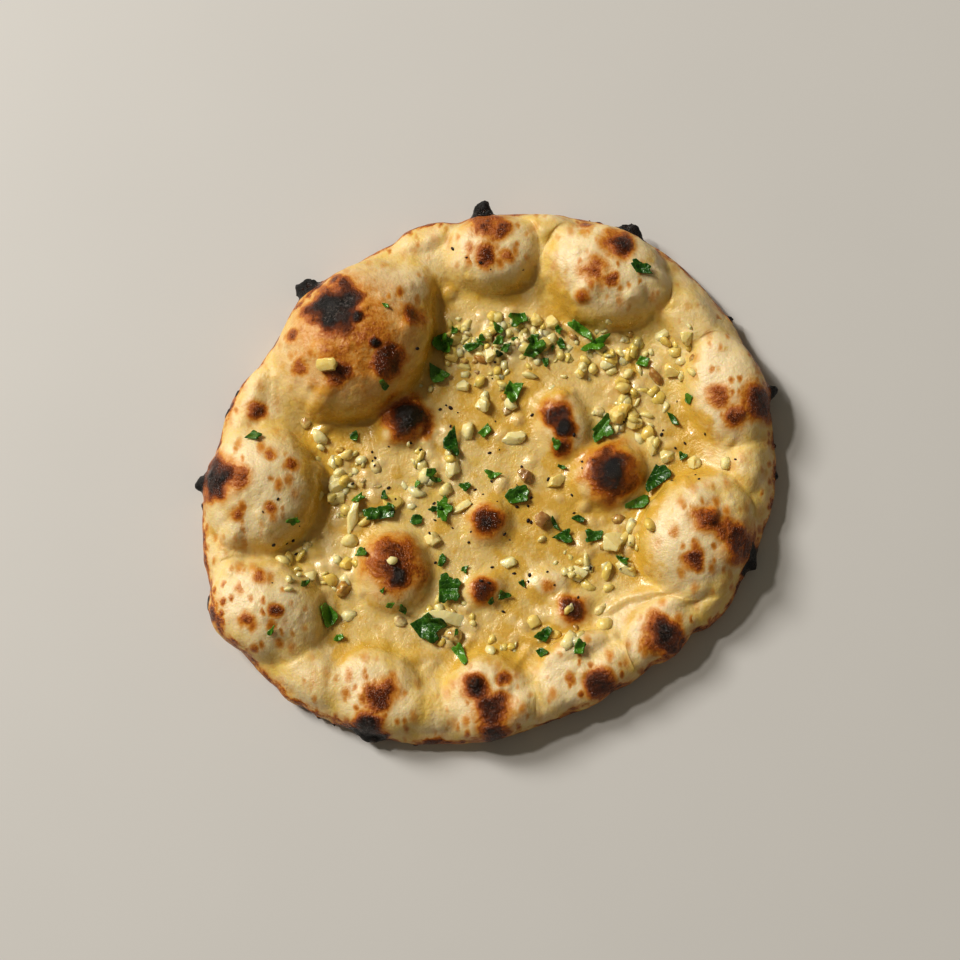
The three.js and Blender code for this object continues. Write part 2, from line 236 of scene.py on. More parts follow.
def linear(red, green, blue):
    """A screen colour, with channels from 0 to 255, as the plain light it stands for."""
    def channel(value):
        share = value / 255
        return share / 12.92 if share <= 0.04045 else ((share + 0.055) / 1.055) ** 2.4
    return tuple(channel(value) for value in (red, green, blue))


def colour(name, description, default):
    """A colour that a user may change."""
    return bpy.props.FloatVectorProperty(
        name=name, description=description, subtype="COLOR", size=3, min=0, max=1, default=default)


def length(name, description, default):
    """A length that a user may change, given in millimetres and kept in metres."""
    return bpy.props.FloatProperty(
        name=name, description=description, default=default * MM, min=0, unit="LENGTH",
        precision=5)


# ---- What a user may change --------------------------------------------------------------


class NaanCrustSettings(bpy.types.PropertyGroup):
    """Sizes and colours of the bread."""

    grain: length("Grain", "Spacing of the skin's mesh", 0.8)
    melting: bpy.props.IntProperty(
        name="Melting", description="How far blisters melt into the dough", default=49, min=0)
    softening: bpy.props.IntProperty(
        name="Softening", description="How far pinched creases are eased", default=2, min=0)
    swell: length("Swell", "Height of the broad unevenness of the skin", 1.0)
    wrinkle: length("Wrinkle", "Height of the small unevenness of the skin", 0.3)
    roll: length("Roll", "How far the rim is puffed up between its blisters", 2.0)
    # Cream on the blisters' tops is partly painted light.
    cream: colour("Cream", "Pale dough on top of the blisters", linear(238, 218, 174))
    # Golden and amber also serve as painted shade in the crease round the base of each blister.
    golden: colour("Golden", "Dough between the blisters", linear(227, 194, 104))
    amber: colour("Amber", "Melted butter in the hollows", linear(216, 172, 54))
    toasted: colour("Toasted", "Edge of a scorched spot", linear(208, 142, 48))
    rust: colour("Rust", "Well baked dough", linear(172, 94, 20))
    brown: colour("Brown", "Scorched dough", linear(104, 46, 10))
    burnt: colour("Burnt", "Nearly black dough", linear(42, 17, 5))
    char: colour("Char", "Dough burnt right through", linear(8, 5, 4))
    # This ashy grey is also painted on the char as painted glints of its glossy grain.
    ash_and_glints: colour("Ash", "Grey bloom on burnt dough", linear(150, 138, 132))


class NaanGarlicSettings(bpy.types.PropertyGroup):
    """Sizes and colours of the chopped garlic."""

    smallest: length("Smallest", "Length of the smallest crumbs", 1.8)
    usual: length("Usual", "Length of most crumbs", 3.2)
    largest: length("Largest", "Length of the largest crumbs", 6.8)
    chunky: length("Chunky", "Length from which a crumb has finer facets", 5.2)
    sink: length("Sink", "How deep a morsel lies in the dough", 0.7)
    flesh: colour("Flesh", "Fresh garlic", linear(244, 230, 172))
    cooked: colour("Cooked", "Garlic that butter has softened", linear(232, 198, 92))
    seared: colour("Seared", "Browned corners", linear(150, 92, 46))


class NaanLeafSettings(bpy.types.PropertyGroup):
    """Sizes and colours of the coriander."""

    thickness: length("Thickness", "Thickness of a leaf", 0.3)
    lift: length("Lift", "How high a leaf curls off the dough", 1.5)
    bright: colour("Bright", "Fresh leaf", linear(92, 148, 34))
    dark: colour("Dark", "Wilted leaf", linear(24, 72, 12))


class NaanPepperSettings(bpy.types.PropertyGroup):
    """Size and colour of the pepper."""

    speck: length("Speck", "Width of a speck", 0.95)
    husk: colour("Husk", "Outside of a peppercorn", linear(52, 34, 24))
    shade: colour("Shade", "Dark side of a peppercorn", linear(20, 14, 12))


class NaanStageSettings(bpy.types.PropertyGroup):
    """The floor, the lamps and the camera."""

    floor: colour("Floor", "The plain floor", (0.68, 0.675, 0.665))
    key: bpy.props.FloatProperty(
        name="Key", description="Power of the large soft lamp", default=89, unit="POWER")
    sparkle: bpy.props.FloatProperty(
        name="Sparkle", description="Power of the small lamp", default=26, unit="POWER")
    fill: bpy.props.FloatProperty(
        name="Fill", description="Strength of the light from all round", default=0.13)
    lens: bpy.props.FloatProperty(
        name="Lens", description="Focal length of the camera", default=85, unit="CAMERA")
    distance: length("Distance", "From the camera to the bread", 782)
    elevation: bpy.props.FloatProperty(
        name="Elevation", description="Height of the camera over the horizon",
        default=math.radians(82), subtype="ANGLE")


# ---- Materials ---------------------------------------------------------------------------


class Wire:
    """An output of a material's node, on which plain maths adds Math nodes."""

    def __init__(self, shader, socket):
        self.shader, self.socket = shader, socket

    def maths(self, operation, first, second):
        settings = {"operation": operation}
        return self.shader.node("ShaderNodeMath", settings, {0: first, 1: second})

    def __add__(self, other):
        return self.maths("ADD", self, other)

    def __radd__(self, other):
        return self.maths("ADD", other, self)

    def __sub__(self, other):
        return self.maths("SUBTRACT", self, other)

    def __rsub__(self, other):
        return self.maths("SUBTRACT", other, self)

    def __mul__(self, other):
        return self.maths("MULTIPLY", self, other)

    def __rmul__(self, other):
        return self.maths("MULTIPLY", other, self)

    def larger(self, other):
        return self.maths("MAXIMUM", self, other)

    def between(self, low, high):
        """Rises softly from 0 at low to 1 at high."""
        return self.shader.node(
            "ShaderNodeMapRange", {"interpolation_type": "SMOOTHSTEP"},
            {"Value": self, "From Min": low, "From Max": high})

    def fall(self, low, high):
        """Falls softly from 1 at low to 0 at high."""
        return 1 - self.between(low, high)


class Shader:
    """One material, built node by node."""

    def __init__(self, name):
        self.material = bpy.data.materials.new(name)
        self.material.use_nodes = True
        self.tree = self.material.node_tree
        self.tree.nodes.clear()
        self.place = self.node("ShaderNodeTexCoord", out="Object")

    def node(self, kind, settings=None, sockets=None, out=0):
        """Adds a node: its settings first, then the values or links of its sockets."""
        made = self.tree.nodes.new(kind)
        for name, value in (settings or {}).items():
            if name == "stops":
                self.set_stops(made.color_ramp, value)
            else:
                setattr(made, name, value)
        for name, value in (sockets or {}).items():
            if isinstance(value, Wire):
                self.tree.links.new(value.socket, made.inputs[name])
            else:
                made.inputs[name].default_value = value
        return Wire(self, made.outputs[out]) if len(made.outputs) else made

    def set_stops(self, ramp, stops):
        ramp.interpolation = "EASE"
        while len(ramp.elements) < len(stops):
            ramp.elements.new(0.5)
        for element, (position, paint) in zip(ramp.elements, stops):
            element.position, element.color = position, (*paint, 1)

    def noise(self, size, detail=3, roughness=0.5):
        """Cloudy noise from 0 to 1 with features about as wide as size, in millimetres."""
        return self.node("ShaderNodeTexNoise", None, {
            "Vector": self.place, "Scale": 1 / (size * MM), "Detail": detail,
            "Roughness": roughness})

    def attribute(self, name):
        return self.node("ShaderNodeAttribute", {"attribute_name": name}, out="Fac")

    def mix(self, first, second, factor):
        """Mixes two colours."""
        sockets = {0: factor}
        for index, paint in ((6, first), (7, second)):
            sockets[index] = paint if isinstance(paint, Wire) else (*paint, 1)
        return self.node(
            "ShaderNodeMix", {"data_type": "RGBA", "clamp_result": True}, sockets, out=2)

    def bump(self, height):
        """Raises the surface by a height in millimetres."""
        return self.node("ShaderNodeBump", None, {"Height": height, "Distance": MM})

    def finish(self, sockets):
        """Ends the material in one surface shader."""
        surface = self.node("ShaderNodeBsdfPrincipled", {"subsurface_method": "RANDOM_WALK"}, {
            name: (*value, 1) if name == "Base Color" and not isinstance(value, Wire) else value
            for name, value in sockets.items()})
        self.node("ShaderNodeOutputMaterial", None, {"Surface": surface})
        return self.material


def warped_place(shader, size, amount):
    """Object coordinates pushed about by noise, so that edges drawn on them wander."""
    cloud = shader.node("ShaderNodeTexNoise", None, {
        "Vector": shader.place, "Scale": 1 / (size * MM), "Detail": 3.0}, out="Color")
    centred = shader.node("ShaderNodeVectorMath", {"operation": "SUBTRACT"},
                          {0: cloud, 1: (0.5, 0.5, 0.5)})
    scaled = shader.node("ShaderNodeVectorMath", {"operation": "SCALE"},
                         {0: centred, "Scale": amount * MM})
    return shader.node("ShaderNodeVectorMath", {"operation": "ADD"}, {0: shader.place, 1: scaled})


def freckles(shader, cell, rarity):
    """Soft round dots seen from above, one in some of the cells and none in the others."""
    settings = {"feature": "F1", "voronoi_dimensions": "2D"}
    drawn_out = shader.node("ShaderNodeVectorMath", {"operation": "MULTIPLY"},
                            {0: warped_place(shader, 3, 2.6), 1: (1.25, 0.8, 1.0)})
    sockets = {"Vector": drawn_out, "Scale": 1 / (cell * MM)}
    distance = shader.node("ShaderNodeTexVoronoi", settings, sockets)
    chance = shader.node("ShaderNodeTexVoronoi", settings, sockets, out="Color")
    picked = shader.node("ShaderNodeSeparateColor", None, {"Color": chance})
    return distance.fall(0.0, 0.52) * picked.between(rarity, rarity + 0.3)


def crust_material(name, crust):
    """Dough, butter and char, laid where the skin's own attributes put them, with painted shade
    round the blisters' bases and painted light on their tops and char.
    """
    shader = Shader(name)
    parts = ("scorch", "dome", "wet", "foot", "lump", "edge", "under")
    scorch, dome, wet, foot, lump, edge, under = (shader.attribute(part) for part in parts)

    broad = shader.noise(22)
    patchy = shader.noise(6, 4, 0.6)
    fine = shader.noise(1.3, 4, 0.6)
    speckle = shader.noise(0.7, 3, 0.7)

    # Pale domes, golden hollows, and amber where butter gathers. Round the base of each blister
    # the dough is also painted darker and more golden: painted shade in the crease, besides the
    # butter pooled there.
    cloudy = (broad - 0.5) * 1.4 + (patchy - 0.5) * 1.6
    # The cream on the blisters' tops and the gold on their flanks are partly a drier top crust and
    # partly painted light: tops painted as lit, flanks painted in shade.
    pale = (cloudy + dome * 0.42 - wet * 0.08 - foot * 0.22 + 0.62).between(0.0, 1.0)
    dough = shader.mix(crust.golden, crust.cream, pale)
    butter = (wet * 0.8 + foot * 0.2 + broad * 2.4 + patchy * 1.8 - 2.68).between(0.0, 0.5)
    dough = shader.mix(dough, crust.amber, butter * 0.86)
    dough = shader.mix(dough, crust.cream, lump * 0.35)

    # Toast, from 0 to 1: ragged scorches, freckles, the baked edge and the underside's mottling.
    ragged = (patchy - 0.5) * 0.55 + (fine - 0.5) * 0.4
    char = scorch + ragged * scorch.between(0.02, 0.4)
    dots = freckles(shader, 7.4, 0.25) * (0.4 + dome * 0.6) * 0.56
    dots = dots.larger(freckles(shader, 4.3, 0.45) * (0.2 + edge * 0.4 + dome * 0.3))
    rim_toast = (edge * 0.6 + patchy - 0.72).between(0.0, 0.6) * 0.3
    rim_burn = (edge.between(0.55, 1.0) + patchy * 1.7 - 1.4).between(0.0, 0.8) * 0.75
    mottle = (patchy * 1.3 + broad * 0.9 - 1.0).between(0.05, 0.55) * under * 0.68
    dots = dots * (1 - wet * 0.75) * (1 - under * 0.5)
    toast = char.larger(dots).larger(rim_toast).larger(rim_burn).larger(mottle)

    stops = [(0.0, crust.toasted), (0.28, crust.toasted), (0.48, crust.rust),
             (0.68, crust.brown), (0.87, crust.burnt), (1.0, crust.char)]
    burnt = shader.node("ShaderNodeValToRGB", {"stops": stops}, {"Fac": toast})
    paint = shader.mix(dough, burnt, toast.between(0.02, 0.36))
    # Grey flecks on the deepest char of the large blisters' tops: partly ashy grey, partly painted
    # glints for the char's glossy grain.
    bloom_and_glints = speckle.between(0.5, 0.64) * dome.between(0.66, 0.8) * toast.between(0.84, 1.0)
    paint = shader.mix(paint, crust.ash_and_glints, bloom_and_glints * 0.45)

    # Butter shines, and burnt skin is crisp and glints.
    crisp = toast.between(0.35, 0.8)
    roughness = 0.44 - wet * 0.2 - lump * 0.06 + (fine - 0.5) * 0.3 - crisp * 0.22
    roughness = roughness + toast.between(0.94, 1.0) * edge * 0.35
    film = (wet * 0.9 + foot * 0.3 + patchy * 0.8 - 0.85).between(0.0, 0.8) * (0.5 - crisp * 0.35)
    height = patchy * 0.5 + fine * (0.34 + crisp * 0.4) + speckle * (0.07 + crisp * 0.55)
    return shader.finish({
        "Base Color": paint, "Roughness": roughness, "Coat Weight": film,
        "Coat Roughness": 0.12, "Subsurface Weight": 0.4, "Subsurface Scale": 0.004,
        "Subsurface Radius": (1.0, 0.62, 0.22), "Normal": shader.bump(height)})


def garlic_material(name, garlic):
    shader = Shader(name)
    tint = shader.attribute("tint")
    sear = shader.attribute("sear")
    cloud = shader.noise(1.6)
    grain = shader.noise(1.1)
    soft = (tint + cloud * 0.6 - 0.3).between(0.1, 1.0)
    paint = shader.mix(garlic.flesh, garlic.cooked, soft * 0.85)
    paint = shader.mix(paint, garlic.seared, (sear + cloud - 0.75).between(0.1, 0.75) * 0.85)
    return shader.finish({
        "Base Color": paint, "Roughness": 0.14 + cloud * 0.16, "Coat Weight": 0.4,
        "Coat Roughness": 0.07, "Subsurface Weight": 0.6, "Subsurface Scale": 0.0025,
        "Subsurface Radius": (1.0, 0.85, 0.42), "Normal": shader.bump(grain * 0.25)})


def leaf_material(name, leaf):
    shader = Shader(name)
    tint = shader.attribute("tint")
    cloud = shader.noise(1.8)
    veins = shader.node("ShaderNodeTexVoronoi", {"feature": "DISTANCE_TO_EDGE"}, {
        "Vector": shader.place, "Scale": 1 / (1.7 * MM)}).fall(0.0, 0.12)
    paint = shader.mix(leaf.dark, leaf.bright, (tint * 0.7 + cloud * 0.9 - 0.35).between(0.0, 1.0))
    paint = shader.mix(paint, leaf.bright, veins * 0.35)
    return shader.finish({
        "Base Color": paint, "Roughness": 0.22 + cloud * 0.15, "Coat Weight": 0.3,
        "Coat Roughness": 0.1, "Normal": shader.bump(veins * 0.08 + cloud * 0.5)})


def pepper_material(name, pepper):
    shader = Shader(name)
    cloud = shader.noise(0.4)
    paint = shader.mix(pepper.husk, pepper.shade, cloud.between(0.35, 0.6))
    return shader.finish({
        "Base Color": paint, "Roughness": 0.5 + cloud * 0.2, "Normal": shader.bump(cloud * 0.1)})


def once(name, make, settings):
    """The material of this name, made if it isn't there yet."""
    return bpy.data.materials.get(name) or make(name, settings)


def floor_material(name, stage):
    shader = Shader(name)
    cloud = shader.noise(60, 2)
    paint = shader.mix(stage.floor, tuple(0.97 * channel for channel in stage.floor), cloud)
    return shader.finish({"Base Color": paint, "Roughness": 0.45})


# ---- Mesh helpers ------------------------------------------------------------------------


def finished(name, shape, material, nodes=(), sharp=None):
    """A piece of the object from a finished bmesh, riding on the bread's body."""
    mesh = bpy.data.meshes.new(name)
    shape.to_mesh(mesh)
    shape.free()
    mesh.shade_smooth()
    if sharp is not None:
        mesh.set_sharp_from_angle(angle=sharp)
    mesh.materials.append(material)
    piece = bpy.data.objects.new(name, mesh)
    bpy.context.scene.collection.objects.link(piece)
    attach(piece, BODY)
    if nodes:
        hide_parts(*nodes)
    return piece


def modified(shape, *changes, picked=()):
    """The shape after modifiers, each given as its kind and its settings."""
    mesh = bpy.data.meshes.new("working")
    shape.to_mesh(mesh)
    shape.free()
    carrier = bpy.data.objects.new("working", mesh)
    bpy.context.scene.collection.objects.link(carrier)
    carrier.vertex_groups.new(name="picked").add(picked, 1, "REPLACE")
    for kind, settings in changes:
        modifier = carrier.modifiers.new(kind, kind)
        for name, value in settings.items():
            setattr(modifier, name, value)
    result = carrier.evaluated_get(bpy.context.evaluated_depsgraph_get()).to_mesh()
    after = bmesh.new()
    after.from_mesh(result)
    bpy.data.objects.remove(carrier)
    bpy.data.meshes.remove(mesh)
    return after


def cut(shape, point, direction, close=True):
    """Cuts off what lies past a plane, and closes the cut."""
    geometry = [*shape.verts, *shape.edges, *shape.faces]
    bmesh.ops.bisect_plane(
        shape, geom=geometry, plane_co=point, plane_no=direction, clear_outer=True)
    if close:
        rim = [edge for edge in shape.edges if edge.is_boundary]
        bmesh.ops.holes_fill(shape, edges=rim)


def eased(shape, points, factor):
    """Pulls points a little towards their neighbours."""
    bmesh.ops.smooth_vert(
        shape, verts=points, factor=factor, use_axis_x=True, use_axis_y=True, use_axis_z=True)


def any_direction(chance):
    """An even random direction."""
    z, angle = chance.uniform(-1, 1), chance.uniform(0, math.tau)
    flat = math.sqrt(1 - z * z)
    return Vector((flat * math.cos(angle), flat * math.sin(angle), z))


def smoothstep(low, high, value):
    """Rises softly from 0 at low to 1 at high."""
    share = np.clip((value - low) / (high - low), 0, 1)
    return share * share * (3 - 2 * share)


def clouds(points, size, seed):
    """Noise from -1 to 1 at each point, with features about as wide as size."""
    offset = Vector((seed * 17.3, seed * 5.1, seed * 9.7))
    return np.array([noise.noise(Vector(point) / size + offset) for point in points])


def points_of(shape):
    return np.array([vertex.co for vertex in shape.verts])


def set_attribute(piece, name, values):
    """Gives a piece's points a number each, or all of them the same one."""
    made = piece.data.attributes.new(name, "FLOAT", "POINT")
    made.data.foreach_set("value", np.full(len(piece.data.vertices), values, np.float32))


# ---- The bread ---------------------------------------------------------------------------


def add_bubble(shape, blister, seat):
    """One egg-shaped blister, whose lower half reaches down to the floor and no further."""
    x, y, long, wide, top, heading = blister
    made = bmesh.ops.create_icosphere(shape, subdivisions=5, radius=1)["verts"]
    rise = (top - seat) * MM
    turned = (Matrix.Translation((x * MM, y * MM, seat * MM))
              @ Matrix.Rotation(math.radians(heading), 4, "Z")
              @ Matrix.Diagonal((long / 2 * MM, wide / 2 * MM, rise, 1)))
    bmesh.ops.transform(shape, matrix=turned, verts=made)
    for vertex in made:
        drop = seat * MM - vertex.co.z
        if drop > 0:
            vertex.co.z = seat * MM - drop * min(1, 0.97 * seat * MM / rise)


def add_crumb(shape, x, y, z, wide, deep, seed):
    """A burnt, crusty lump: a ball with a coarse, broken skin."""
    made = bmesh.ops.create_icosphere(shape, subdivisions=4, radius=1)["verts"]
    offset = Vector((seed * 3.7, seed * 1.9, seed * 7.3))
    for vertex in made:
        coarse = noise.noise(vertex.co * 1.8 + offset)
        fine = noise.noise(vertex.co * 4.2 + offset)
        vertex.co *= 0.8 + 0.5 * coarse + 0.55 * fine
    placed = (Matrix.Translation((x * MM, y * MM, z * MM))
              @ Matrix.Rotation(seed * 1.3, 4, "Z")
              @ Matrix.Diagonal((wide / 2 * MM, wide / 2 * 0.85 * MM, deep / 2 * MM, 1)))
    bmesh.ops.transform(shape, matrix=placed, verts=made)


def edge_nubs():
    """Little burnt nubs along the outer edge: x, y, z, width and depth, in millimetres."""
    chance = random.Random(SEEDS["nubs"])
    nubs = []
    for _ in range(EDGE_NUBS):
        angle = chance.uniform(0, math.tau)
        reach = float(outline(angle)) / MM - 0.3
        wide = chance.uniform(1.2, 2.4)
        nubs.append((reach * math.cos(angle), reach * math.sin(angle),
                     chance.uniform(3, 6.5), wide, wide * 0.8))
    return nubs


def bubble_height(x, y, blister, spread=1.0):
    """How far up a blister each point stands, from 0 outside it to 1 at its top."""
    bx, by, long, wide, _, heading = blister
    turn = math.radians(heading)
    dx, dy = x - bx * MM, y - by * MM
    along = (dx * math.cos(turn) + dy * math.sin(turn)) / (long / 2 * spread * MM)
    across = (dy * math.cos(turn) - dx * math.sin(turn)) / (wide / 2 * spread * MM)
    return np.sqrt(np.clip(1 - along ** 2 - across ** 2, 0, 1))


def bread_skin(crust):
    """The bread's skin: blisters melted into the dough, then crumbs, then the flat underside
    thinned.
    """
    shape = bmesh.new()
    shape.from_mesh(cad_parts["naan_bread"].data)
    bmesh.ops.remove_doubles(shape, verts=shape.verts, dist=0.01 * MM)
    for blister in RIM_BLISTERS:
        add_bubble(shape, blister, RIM_SEAT)
    for blister in MIDDLE_BLISTERS:
        add_bubble(shape, blister, MIDDLE_SEAT)
    fused = ("REMESH", {"mode": "VOXEL", "voxel_size": crust.grain, "adaptivity": 0})
    melted = ("SMOOTH", {"factor": 0.5, "iterations": crust.melting})
    shape = modified(shape, fused, melted)
    for seed, crumb in enumerate(BURNT_CRUMBS + edge_nubs()):
        add_crumb(shape, *crumb, seed)
    softened = ("SMOOTH", {"factor": 0.5, "iterations": 1})
    shape = modified(shape, fused, softened)
    flat = [vertex.index for vertex in shape.verts if vertex.co.z < UNDERSIDE * MM]
    kept = 1 - THINNED * len(flat) / len(shape.verts)
    return modified(shape, ("DECIMATE", {"ratio": kept, "vertex_group": "picked"}), picked=flat)


def bubbles(boxes, low, high, steep, seed):
    """Little swellings strewn in boxes, from low to high long, laid out as BUMPS are."""
    chance = random.Random(seed)
    made = []
    for x, y in strewn(boxes, chance):
        long = chance.uniform(low, high)
        wide = long * chance.uniform(0.6, 0.95)
        rise = wide * steep * chance.uniform(0.6, 1.2)
        made.append((x / MM, y / MM, long, wide, chance.uniform(0, 180), rise))
    return made


def swelling(points, bumps):
    """How far bumps push each point, and how far up a bump it stands, from 0 to 1."""
    push, height = np.zeros(len(points)), np.zeros(len(points))
    for x, y, long, wide, heading, rise in bumps:
        share = bubble_height(points[:, 0], points[:, 1], (x, y, long, wide, 0, heading))
        push = np.maximum(push, rise * MM * smoothstep(0, 1, share ** 2))
        height = np.maximum(height, share)
    return push, height


def unevenness(points, mound, share, burnt, crust):
    """How far each point of the skin is pushed out along its normal."""
    raised = smoothstep(0, 0.9, mound)
    push = clouds(points, 17 * MM, 1) * crust.swell * (0.5 + raised)
    push += clouds(points, 8 * MM, 2) * crust.swell * 0.35
    push += clouds(points, 4 * MM, 3) * crust.wrinkle
    push += clouds(points, 2.1 * MM, 4) * crust.wrinkle * (0.35 + burnt)
    puffed = smoothstep(0.7, 0.84, share) * (1 - smoothstep(0.93, 1.0, share)) * (1 - raised)
    return push + puffed * crust.roll * (0.7 + clouds(points, 20 * MM, 5))


def scorched(points):
    """How deeply each point is burnt, with edges that wander."""
    wander = np.stack([clouds(points, 5 * MM, 6), clouds(points, 5 * MM, 7)], axis=1)
    burnt = np.zeros(len(points))
    for x, y, reach, depth in SCORCHES:
        moved = points[:, :2] + wander * min(reach * 0.35, 3.2) * MM
        away = np.hypot(moved[:, 0] - x * MM, moved[:, 1] - y * MM) / (reach * MM)
        burnt = np.maximum(burnt, depth * (1 - smoothstep(0.15, 1.5, away)) * 1.08)
    for x, y, z, wide, _ in BURNT_CRUMBS + edge_nubs():
        away = np.linalg.norm(points - np.array((x, y, z)) * MM, axis=1) / (wide / 2 * MM)
        away += wander[:, 0] * 0.6
        burnt = np.maximum(burnt, 1 - smoothstep(1.05, 1.75, away))
    return burnt


def make_bread(crust):
    shape = bread_skin(crust)
    points = points_of(shape)
    normals = np.array([vertex.normal for vertex in shape.verts])
    x, y, z = points.T
    rim = np.max([bubble_height(x, y, blister) for blister in RIM_BLISTERS], axis=0)
    inner = np.max([bubble_height(x, y, blister) for blister in MIDDLE_BLISTERS], axis=0)
    mound = np.maximum(rim, inner * 0.8) ** 2
    near = np.max([bubble_height(x, y, blister, 1.3) for blister in RIM_BLISTERS], axis=0)
    share = np.hypot(x, y) / outline(np.arctan2(y, x))
    middle = 1 - smoothstep(0.62, 0.86, share)
    topside = smoothstep(1.2 * MM, 4 * MM, z)
    burnt = scorched(points) * topside

    folds, _ = swelling(points, BUMPS)
    pinheads, _ = swelling(points, bubbles(SKIN_BUBBLES, 2.2, 4.6, 0.16, SEEDS["pinheads"]))
    covered, lump = swelling(points, bubbles(GARLIC_COVERED, 3.2, 7.0, 0.22, SEEDS["covered"]))
    between = 1 - smoothstep(0.02, 0.4, mound)
    push = unevenness(points, mound, share, burnt, crust) + folds + pinheads + covered * between
    points += normals * (push * topside)[:, None]
    points[:, 2] = np.maximum(points[:, 2], 0)
    for vertex, place in zip(shape.verts, points):
        vertex.co = place
    supple = [vertex for vertex, char, top in zip(shape.verts, burnt, topside)
              if char < 0.6 and top > 0]
    for _ in range(crust.softening):
        eased(shape, supple, 0.5)
    material = once("baked_crust", crust_material, crust)
    bread = finished("baked_naan", shape, material, ["naan_bread"])
    set_attribute(bread, "scorch", burnt)
    set_attribute(bread, "dome", mound)
    # This ring round each blister's base marks where butter pools, and also where painted shade
    # darkens the crease and the lower flanks.
    set_attribute(bread, "foot", smoothstep(0, 0.6, near) * (1 - smoothstep(0, 0.7, mound)))
    set_attribute(bread, "lump", smoothstep(0.2, 0.9, lump) * between)
    bare = (1 - rim ** 2) * (1 - 0.7 * inner ** 2)
    set_attribute(bread, "wet", np.clip(middle * bare + 0.2, 0, 1) * topside)
    set_attribute(bread, "edge", smoothstep(0.88, 1.0, share))
    set_attribute(bread, "under", 1 - topside)


# ---- Toppings ----------------------------------------------------------------------------


class Surface:
    """What lies on the floor so far, seen from above."""

    def __init__(self, names):
        graph = bpy.context.evaluated_depsgraph_get()
        self.trees = [BVHTree.FromObject(bpy.data.objects[name], graph) for name in names]

    def under(self, x, y):
        """The highest point at a place, and the way it faces."""
        hits = [tree.ray_cast(Vector((x, y, OVER_ALL)), -UP) for tree in self.trees]
        found = [(point, normal) for point, normal, _, _ in hits if point]
        if not found:
            raise ValueError(f"nothing lies under {x:.4f}, {y:.4f}")
        return max(found, key=lambda hit: hit[0].z)


def lie_of(node):
    """Middle, heading, length and width of a packed topping, seen from above."""
    low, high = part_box(node)
    middle = (low + high) / 2
    flat = np.array([vertex.co.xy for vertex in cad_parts[node].data.vertices])
    flat = flat - flat.mean(axis=0)
    _, axes = np.linalg.eigh(flat.T @ flat)
    along, across = flat @ axes[:, 1], flat @ axes[:, 0]
    heading = math.atan2(axes[1, 1], axes[0, 1])
    return middle, heading, float(np.ptp(along)), float(np.ptp(across)), high.z - low.z


def morsel(chance, cuts, roundness):
    """A chopped morsel one unit long: an uneven piece of clove with flat knife faces."""
    shape = bmesh.new()
    bmesh.ops.create_icosphere(shape, subdivisions=roundness, radius=0.62)
    offset = any_direction(chance) * 40
    for vertex in shape.verts:
        vertex.co *= 1 + 0.4 * noise.noise(vertex.co * 2.4 + offset)
    for _ in range(cuts):
        direction = any_direction(chance)
        cut(shape, direction * chance.uniform(0.32, 0.5), direction)
    cut(shape, Vector((0, 0, -0.3)), -UP)
    return shape


def fitted(shape, long, wide, thick):
    """Stretches a shape to a size, standing on its lowest point over the origin."""
    points = points_of(shape)
    low, high = points.min(axis=0), points.max(axis=0)
    size = np.array((long, wide, thick)) / (high - low)
    middle = (low + high) / 2
    bmesh.ops.translate(shape, vec=(-middle[0], -middle[1], -low[2]), verts=shape.verts)
    bmesh.ops.scale(shape, vec=size, verts=shape.verts)


def seated(shape, surface, x, y, heading, sink, chance):
    """Lays a shape on what is under it, tilted with the slope and a little sunk in."""
    point, normal = surface.under(x, y)
    lean = UP.lerp(normal, 0.75) + any_direction(chance) * 0.12
    tilt = UP.rotation_difference(lean.normalized()).to_matrix().to_4x4()
    placed = Matrix.Translation(point - lean.normalized() * sink) @ tilt
    bmesh.ops.transform(
        shape, matrix=placed @ Matrix.Rotation(heading, 4, "Z"), verts=shape.verts)


def garlic_piece(number, node, surface, garlic, material):
    """One large morsel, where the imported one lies."""
    chance = random.Random(SEEDS["morsel"] + number)
    middle, heading, long, wide, thick = lie_of(node)
    shape = morsel(chance, cuts=5, roundness=3)
    keen = [edge for edge in shape.edges if edge.is_manifold and edge.calc_face_angle() > 0.5]
    bmesh.ops.bevel(shape, geom=keen, offset=0.06, segments=2, profile=0.5, material=-1,
                    affect="EDGES", clamp_overlap=True)
    fitted(shape, long * 1.05, wide * 1.05, thick)
    seated(shape, surface, middle.x, middle.y, heading, garlic.sink, chance)
    bmesh.ops.recalc_face_normals(shape, faces=shape.faces)
    piece = finished(
        f"garlic_morsel_{number:02d}", shape, material, [node], KNIFE_EDGE)
    set_attribute(piece, "tint", chance.random())
    set_attribute(piece, "sear", 0.9 if number in BROWNED else chance.random() * 0.35)


def strewn(boxes, chance):
    """Places scattered in boxes, each denser towards its middle."""
    for low_x, high_x, low_y, high_y, count in boxes:
        for _ in range(count):
            yield (chance.triangular(low_x, high_x) * MM, chance.triangular(low_y, high_y) * MM)


def heap(name, material, small_pieces):
    """Many small shapes in one piece, each with its own tint and sear."""
    whole = bmesh.new()
    tints, sears = [], []
    for shape, tint, sear in small_pieces:
        mesh = bpy.data.meshes.new("working")
        shape.to_mesh(mesh)
        tints += [tint] * len(shape.verts)
        sears += [sear] * len(shape.verts)
        shape.free()
        whole.from_mesh(mesh)
        bpy.data.meshes.remove(mesh)
    bmesh.ops.recalc_face_normals(whole, faces=whole.faces)
    piece = finished(name, whole, material)
    set_attribute(piece, "tint", tints)
    set_attribute(piece, "sear", sears)


def crumb_places(chance, garlic):
    """Where each garlic crumb lies, with its length and width."""
    for x, y, long, wide in GARLIC_PLACED:
        yield x * MM, y * MM, long * MM, wide * MM
    for x, y in strewn(GARLIC_STREWN, chance):
        long = chance.triangular(garlic.smallest, garlic.largest, garlic.usual)
        yield x, y, long, long * chance.uniform(0.42, 0.95)


